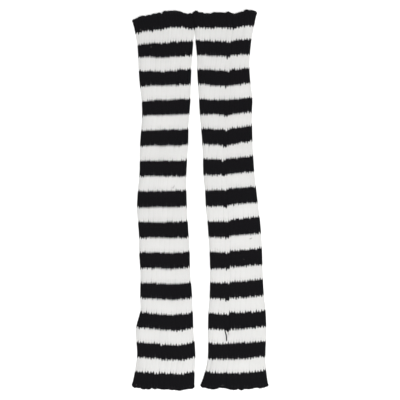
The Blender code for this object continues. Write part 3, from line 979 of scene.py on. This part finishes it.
class NodeTree:
    """Short words for wiring a material."""

    def __init__(self, name):
        self.material = bpy.data.materials.new(name)
        self.material.use_nodes = True
        self.nodes, self.links = self.material.node_tree.nodes, self.material.node_tree.links
        self.shader = self.nodes["Principled BSDF"]
        self.place = self.add("TexCoord")["Object"]

    def feed(self, node, inputs):
        """Links a node's inputs to sockets, or sets them to values."""
        for key, value in inputs.items():
            if isinstance(value, bpy.types.NodeSocket):
                self.links.new(value, node.inputs[key])
            else:
                node.inputs[key].default_value = value

    def add(self, kind, inputs=(), **settings):
        """The outputs of a new node with its settings and inputs."""
        node = self.nodes.new("ShaderNode" + kind)
        for key, value in settings.items():
            setattr(node, key, value)
        self.feed(node, dict(inputs))
        return node.outputs

    def math(self, operation, *values):
        """The result of an operation on sockets and numbers."""
        return self.add("Math", enumerate(values), operation=operation)[0]

    def noise(self, scale, detail=2.0):
        """Noise that stays put on a piece, with so many repeats a metre."""
        return self.add("TexNoise", {"Vector": self.place, "Scale": scale, "Detail": detail})["Fac"]

    def mix(self, share, first, second):
        """A colour at a share of the way from the first to the second."""
        return self.add("Mix", {0: share, 6: first, 7: second}, data_type="RGBA")[2]


def scaled(colour, factor):
    """A colour made darker or brighter by a factor, with its alpha."""
    return tuple(min(1.0, channel * factor) for channel in colour) + (1.0,)


# Noises are in repeats a metre.
SLOW_WANDER = 28.0
QUICK_WANDER = 420.0
SLOW_SHARE = 0.7  # how much of a yarn's wandering brightness is slow
WANDER_ENDS = (0.35, 0.65)  # noise at which the yarn is dullest and brightest
PAINTED_GAP_SHADE = 0.97  # painted shade: brightness deep between the stitches, as a share of the yarn's
YARN_FIBRES = 2600.0
PLIES_ACROSS = 4.0  # turns of the plies for each column
PLIES_ALONG = 1.5  # turns of the plies for each course
PLY_HEIGHT = 0.35  # as a share of the fibres'
STRAND_WANDER = 900.0
STRAND_UNEVENNESS = 0.2
STRAND_FIBRES = 3800.0
MATT = 0.1  # specular level of yarn and paper


def finish_yarn(tree, base, relief, uneven, spread, looks, nap):
    """What all yarns share: a colour, a relief, a nap and a matt finish that varies a little.

    The roughness runs from a spread below that of the looks to a spread above it, with the uneven noise.
    """
    finish = {"Value": uneven, "To Min": looks.roughness - spread, "To Max": looks.roughness + spread}
    inputs = {
        "Base Color": base,
        "Normal": tree.add("Bump", relief)["Normal"],
        "Roughness": tree.add("MapRange", finish)["Result"],
        "Specular IOR Level": MATT,
        "Sheen Weight": nap,
        "Sheen Roughness": 0.45,
    }
    tree.feed(tree.shader, inputs)
    return tree.material


def yarn_material(name, colour, other, looks, nap, peek_strength):
    """Brushed acrylic yarn: slow and quick wandering of its brightness, painted shade in the gaps, plies and
    fibres.
    """
    tree = NodeTree(name)
    stitches = tree.add("SeparateXYZ", {"Vector": tree.add("UVMap", uv_map="stitches")["UV"]})
    crest = tree.add("Attribute", attribute_name="crest")["Fac"]
    peek = tree.add("Attribute", attribute_name="peek")["Fac"]

    slow = tree.math("MULTIPLY", tree.noise(SLOW_WANDER, 3.0), SLOW_SHARE)
    quick = tree.math("MULTIPLY", tree.noise(QUICK_WANDER), 1 - SLOW_SHARE)
    dullest, brightest = WANDER_ENDS
    wander = {"Value": tree.math("ADD", slow, quick), "From Min": dullest, "From Max": brightest}
    spread = tree.add("MapRange", wander)["Result"]
    base = tree.mix(spread, scaled(colour, 1 - looks.unevenness), scaled(colour, 1 + looks.unevenness))
    # painted shade: the colour is darker deep between the stitches, by the crest
    base = tree.mix(crest, scaled(colour, PAINTED_GAP_SHADE), base)
    base = tree.mix(tree.math("MULTIPLY", peek, peek_strength), base, scaled(other, 1.0))

    plies = tree.math("MULTIPLY", stitches["Y"], PLIES_ALONG)
    plies = tree.math("MULTIPLY_ADD", stitches["X"], PLIES_ACROSS, plies)
    plies = tree.math("SINE", tree.math("MULTIPLY", plies, 2 * np.pi))
    fibres = tree.noise(YARN_FIBRES, 4.0)
    height = tree.math("MULTIPLY_ADD", plies, PLY_HEIGHT, fibres)
    relief = {"Height": height, "Strength": 0.35, "Distance": 0.12 * MM}
    tree.material.diffuse_color = scaled(colour, 1.0)
    return finish_yarn(tree, base, relief, fibres, 0.06, looks, nap)


def strand_material(name, colour, looks, nap):
    """A single strand: fine fibres along it and a little unevenness."""
    tree = NodeTree(name)
    uneven = tree.noise(STRAND_WANDER, 3.0)
    base = tree.mix(uneven, scaled(colour, 1 - STRAND_UNEVENNESS), scaled(colour, 1 + STRAND_UNEVENNESS))
    relief = {"Height": tree.noise(STRAND_FIBRES, 3.0), "Strength": 0.4, "Distance": 0.1 * MM}
    return finish_yarn(tree, base, relief, uneven, 0.05, looks, nap)


def finish_piece(piece, material):
    """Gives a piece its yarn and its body."""
    piece.data.materials.append(material)
    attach(piece, "root")
    return piece


BLACK_STRIPES = range(0, STRIPES, 2)
WHITE_STRIPES = range(1, STRIPES, 2)
BLACK_PEEK = 0.04  # how much a loop of white shows through black knit
WHITE_PEEK = 0.5  # how much a loop of black shows through white knit
SHARP_DEGREES = 75.0  # between faces that aren't shaded as one


class WARMERS_OT_knit(bpy.types.Operator):
    """Knits both tubes, each as its black and its white stripes"""

    bl_idname = "warmers.knit"
    bl_label = "Knit the tubes"

    def execute(self, context):
        sizes, looks = context.scene.knit_sizes, context.scene.yarn_looks
        black = yarn_material("black_yarn_knit", looks.black, looks.white, looks, looks.black_nap, BLACK_PEEK)
        white = yarn_material("white_yarn_knit", looks.white, looks.black, looks, looks.white_nap, WHITE_PEEK)
        for warmer in WARMERS:
            knit = TubeKnit(warmer, sizes)
            yarns = (("black", black, BLACK_STRIPES), ("white", white, WHITE_STRIPES))
            for colour, material, numbers in yarns:
                piece = knit.piece(f"{warmer.side}_{colour}_knit", numbers)
                piece.data.set_sharp_from_angle(angle=np.radians(SHARP_DEGREES))
                finish_piece(piece, material)
                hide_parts(warmer.node)
        return {"FINISHED"}


class WARMERS_OT_hem_edges(bpy.types.Operator):
    """Winds the cast-on and bound-off edges of the four hems"""

    bl_idname = "warmers.hem_edges"
    bl_label = "Hem edges"

    def execute(self, context):
        sizes, looks = context.scene.knit_sizes, context.scene.yarn_looks
        material = strand_material("black_yarn_edge", looks.black, looks, looks.black_nap)
        for warmer in WARMERS:
            for hem in ("elbow", "hand"):
                edge = make_mesh(f"{warmer.side}_{hem}_edge", *hem_edge(warmer, sizes, hem))
                finish_piece(edge, material)
        return {"FINISHED"}


class WARMERS_OT_loose_ends(bpy.types.Operator):
    """Adds the dark thread beside the right seam, the fine loops and stray fibres, and the lint"""

    bl_idname = "warmers.loose_ends"
    bl_label = "Loose ends"

    def execute(self, context):
        sizes, looks = context.scene.knit_sizes, context.scene.yarn_looks
        groups = (
            ("seam_thread", FLOAT_BITS, "black_yarn", looks.black),
            ("stray_loops", LOOP_BITS, "white_yarn", looks.lint),
            ("lint", LINT_BITS, "white_yarn", looks.lint),
        )
        for name, bits, slot, colour in groups:
            piece = make_mesh(name, *join_grids([bit_grid(bit, sizes) for bit in bits]))
            finish_piece(piece, strand_material(name + "_yarn", colour, looks, looks.black_nap))
        return {"FINISHED"}


class WARMERS_OT_declare(bpy.types.Operator):
    """Works out how each tube lies along its length, but keeps nothing of it"""

    bl_idname = "warmers.declare"
    bl_label = "State the cut"

    def execute(self, context):
        sizes = context.scene.knit_sizes
        for warmer in WARMERS:
            lay = Lay(warmer, sizes, along_tube(per_stripe=4), [0.0])
        return {"FINISHED"}


WHITE_LIGHT = (1.0, 1.0, 1.0, 1.0)
FLOOR_REACH = 2.5
FLOOR_BELOW = 0.3 * MM  # how far the floor lies below the knit, so that they don't touch
FLOOR_CORNERS = ((-1, -1), (1, -1), (1, 1), (-1, 1))
PAPER_GRAIN = 9.0  # repeats a metre
PAPER_SHADE = 0.99  # brightness of the paper where it is darkest, as a share of its colour's
LAMP_PLACE = (0.22, -0.42, 1.90)
LAMP_WIDTH = 0.9
SENSOR_WIDTH = 36.0  # mm
OUTLINE_HEIGHT = 5 * MM  # at which the view has its width
PHOTO_MIDDLE = 0.53 * MM  # how far up from the tables' middle the camera stands: half a pixel


class WARMERS_OT_stage(bpy.types.Operator):
    """Sets up the pale floor, the soft lights and the camera straight overhead"""

    bl_idname = "warmers.stage"
    bl_label = "Stage"

    def execute(self, context):
        scene, stage = context.scene, context.scene.stage_sizes
        self.make_floor(stage)
        self.make_lights(scene, stage)
        self.make_camera(scene, stage)
        scene.view_settings.view_transform = "Standard"
        return {"FINISHED"}

    def make_floor(self, stage):
        """A square of matt white paper, lit a little from below."""
        corners = np.array([(x * FLOOR_REACH, y * FLOOR_REACH, -FLOOR_BELOW) for x, y in FLOOR_CORNERS])
        floor = make_mesh("floor", corners, np.array([[0, 1, 2, 3]]))
        tree = NodeTree("floor_paper")
        base = tree.mix(tree.noise(PAPER_GRAIN), scaled(stage.floor, PAPER_SHADE), scaled(stage.floor, 1.0))
        inputs = {
            "Base Color": base,
            "Roughness": 0.9,
            "Specular IOR Level": MATT,
            "Emission Color": WHITE_LIGHT,
            "Emission Strength": stage.floor_glow,
        }
        tree.feed(tree.shader, inputs)
        floor.data.materials.append(tree.material)

    def make_lights(self, scene, stage):
        """A wide soft lamp high above, aimed at the middle, in white surroundings."""
        key = bpy.data.lights.new("key", "AREA")
        key.shape, key.size, key.energy = "DISK", LAMP_WIDTH, stage.key
        lamp = bpy.data.objects.new("key", key)
        lamp.location = LAMP_PLACE
        lamp.rotation_euler = (-lamp.location).to_track_quat("-Z", "Y").to_euler()
        scene.collection.objects.link(lamp)
        world = bpy.data.worlds.new("white_surround")
        world.use_nodes = True
        background = world.node_tree.nodes["Background"]
        background.inputs["Color"].default_value = WHITE_LIGHT
        background.inputs["Strength"].default_value = stage.surround
        scene.world = world

    def make_camera(self, scene, stage):
        """Straight overhead, at the height where the view width fills the frame at the tubes' outline."""
        data = bpy.data.cameras.new("overhead")
        data.lens, data.sensor_width = stage.lens, SENSOR_WIDTH
        camera = bpy.data.objects.new("overhead", data)
        above = stage.view_width * stage.lens / SENSOR_WIDTH
        camera.location = (-ORIGIN_ACROSS, PHOTO_MIDDLE - ORIGIN_UP, OUTLINE_HEIGHT + above)
        scene.collection.objects.link(camera)
        scene.camera = camera


class WARMERS_PT_panel(bpy.types.Panel):
    """The sizes, the colours and the steps"""

    bl_label = "Wrist warmers"
    bl_idname = "WARMERS_PT_panel"
    bl_space_type = "VIEW_3D"
    bl_region_type = "UI"
    bl_category = "Wrist warmers"

    def draw(self, context):
        for group in (context.scene.knit_sizes, context.scene.yarn_looks, context.scene.stage_sizes):
            box = self.layout.box()
            for name in group.__annotations__:
                box.prop(group, name)
        for operator in OPERATORS:
            self.layout.operator(operator.bl_idname)


OPERATORS = (
    WARMERS_OT_knit,
    WARMERS_OT_hem_edges,
    WARMERS_OT_loose_ends,
    WARMERS_OT_declare,
    WARMERS_OT_stage,
)
GROUPS = (("knit_sizes", KnitSizes), ("yarn_looks", YarnLooks), ("stage_sizes", StageSizes))


def register():
    """Adds the classes to Blender and their sizes and colours to the scene."""
    for name, group in GROUPS:
        bpy.utils.register_class(group)
        setattr(bpy.types.Scene, name, PointerProperty(type=group))
    for operator in OPERATORS:
        bpy.utils.register_class(operator)
    bpy.utils.register_class(WARMERS_PT_panel)


def unregister():
    """Takes them off again, in the opposite order."""
    bpy.utils.unregister_class(WARMERS_PT_panel)
    for operator in reversed(OPERATORS):
        bpy.utils.unregister_class(operator)
    for name, group in reversed(GROUPS):
        delattr(bpy.types.Scene, name)
        bpy.utils.unregister_class(group)


def main():
    """Knits and stages the pair."""
    register()
    bpy.ops.warmers.knit()
    bpy.ops.warmers.hem_edges()
    bpy.ops.warmers.loose_ends()
    bpy.ops.warmers.declare()
    bpy.ops.warmers.stage()


if __name__ == "__main__":
    main()
